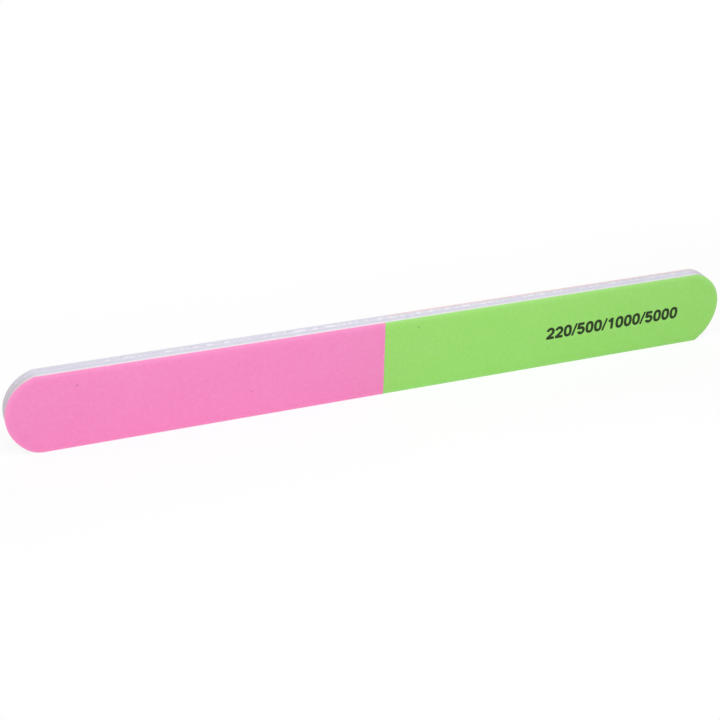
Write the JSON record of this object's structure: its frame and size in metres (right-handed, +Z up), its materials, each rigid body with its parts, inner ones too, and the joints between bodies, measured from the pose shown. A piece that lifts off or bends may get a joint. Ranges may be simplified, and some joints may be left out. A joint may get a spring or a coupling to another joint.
{
  "type": "nail buffer",
  "caption": "Flat round-ended nail buffer: a stiff core between foam cushions, faced with coloured grit skins that butt together on each side, for smoothing and shining fingernails.",
  "frame": {"origin": "on the surface the board stands on, under the middle of its length and thickness", "axes": "+X along the length, towards the green half of the front face; +Y through the thickness, towards the back face; +Z up across the width, from the long edge it stands on"},
  "size_m": [0.178, 0.0042, 0.019],
  "materials": {
    "pink_grit": "fine mineral grit in a pink resin coat, matte",
    "green_grit": "very fine mineral grit in a green resin coat, matte",
    "grey_grit": "polishing grit in a pale grey resin coat, matte",
    "peach_grit": "polishing grit in a peach resin coat, matte",
    "white_backing": "white backing sheet with a clean cut edge",
    "grey_backing": "pale grey backing sheet with a clean cut edge",
    "peach_backing": "peach backing sheet with a clean cut edge",
    "foam": "closed-cell lavender foam, fine open cells on the cut edge",
    "core": "white plastic strip with a ragged cut edge",
    "adhesive": "clear pressure-sensitive film"
  },
  "bodies": {
    "root": {"core_strip": "core", "front_core_adhesive": "adhesive", "back_core_adhesive": "adhesive", "front_foam_cushion": "foam", "back_foam_cushion": "foam", "front_left_skin_adhesive": "adhesive", "front_right_skin_adhesive": "adhesive", "back_left_skin_adhesive": "adhesive", "back_right_skin_adhesive": "adhesive", "front_left_backing_sheet": "white_backing", "front_right_backing_sheet": "white_backing", "back_left_backing_sheet": "grey_backing", "back_right_backing_sheet": "peach_backing", "front_left_grit_coat": "pink_grit", "front_right_grit_coat": "green_grit", "back_left_grit_coat": "grey_grit", "back_right_grit_coat": "peach_grit"}
  },
  "joints": []
}
